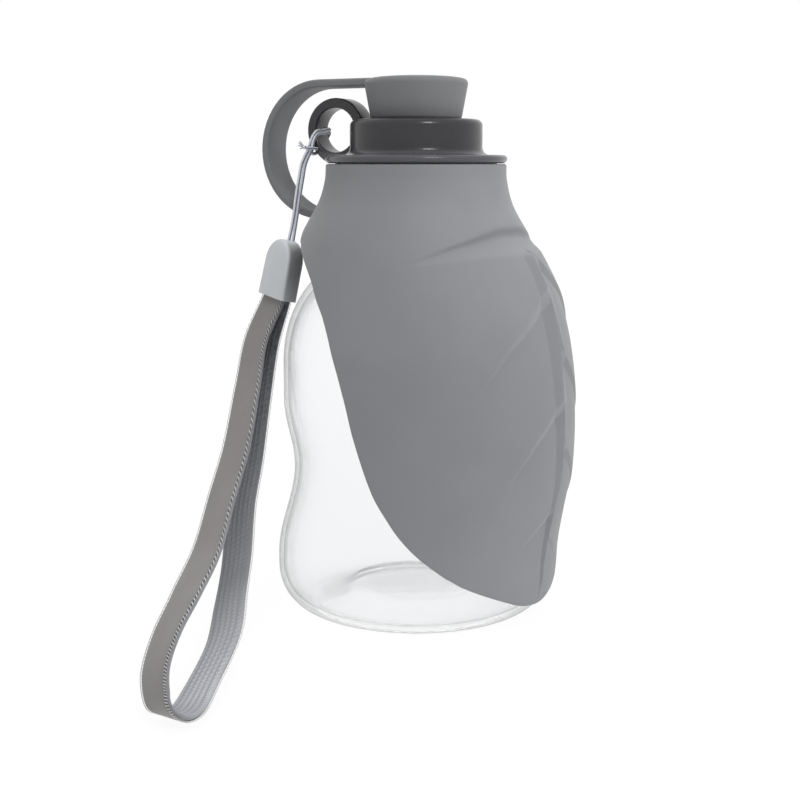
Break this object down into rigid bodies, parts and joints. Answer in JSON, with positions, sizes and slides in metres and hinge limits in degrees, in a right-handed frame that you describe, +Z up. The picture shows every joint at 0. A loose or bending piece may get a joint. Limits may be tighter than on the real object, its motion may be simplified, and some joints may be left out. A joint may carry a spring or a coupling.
{
  "type": "dog travel water bottle",
  "caption": "Clear waisted drinking bottle with a screw cap, a fold-down silicone leaf that flips over as a drinking trough, a tethered stopper and a wrist strap.",
  "frame": {"origin": "centre of the standing ring on the bottle's axis, in the plane the bottle stands on", "axes": "+Z up the bottle's axis, +X towards the middle of the leaf, -X towards the lanyard ring and the stopper's tether"},
  "size_m": [0.0911, 0.1434, 0.14],
  "materials": {
    "clear_plastic": "clear and smooth",
    "seal_silicone": "matte",
    "cap_plastic": "smooth and glossy",
    "leaf_silicone": "soft matte silicone",
    "cord_fabric": "braided cord",
    "ferrule_plastic": "satin",
    "webbing_fabric": "ribbed webbing",
    "tape_fabric": "satin tape",
    "stitch_thread": "thread",
    "tack_thread": "thread"
  },
  "bodies": {
    "bottle": {"bottle_shell": "clear_plastic"},
    "seal": {"seal_ring": "seal_silicone"},
    "head": {"cap": "cap_plastic", "leaf_collar": "leaf_silicone", "stopper_tether": "leaf_silicone", "lanyard_cord": "cord_fabric", "ferrule": "ferrule_plastic", "strap_webbing": "webbing_fabric", "strap_tape": "tape_fabric", "strap_stitching": "stitch_thread", "strap_tack": "tack_thread"},
    "stopper": {"stopper": "leaf_silicone"},
    "leaf": {"leaf": "leaf_silicone"}
  },
  "joints": [
    {"name": "seal_lift", "type": "slide", "parent": "bottle", "child": "seal", "axis": [0, 0, 1], "range_m": [0, 0.004]},
    {"name": "head_turn", "type": "hinge", "parent": "seal", "child": "head", "pos_m": [0, 0, 0.1181], "axis": [0, 0, 1], "range_deg": [0, 360]},
    {"name": "stopper_lift", "type": "slide", "parent": "head", "child": "stopper", "axis": [0, 0, 1], "range_m": [0, 0.012], "deforming": ["stopper_tether"]},
    {"name": "leaf_flip", "type": "hinge", "parent": "head", "child": "leaf", "pos_m": [0, 0, 0.0977], "axis": [1, 0, 0], "range_deg": [0, 180], "deforming": ["leaf"]}
  ],
  "couplings": [
    {"joint": "seal_lift", "follows": "head_turn", "m_per_rad": 0.00063662}
  ]
}
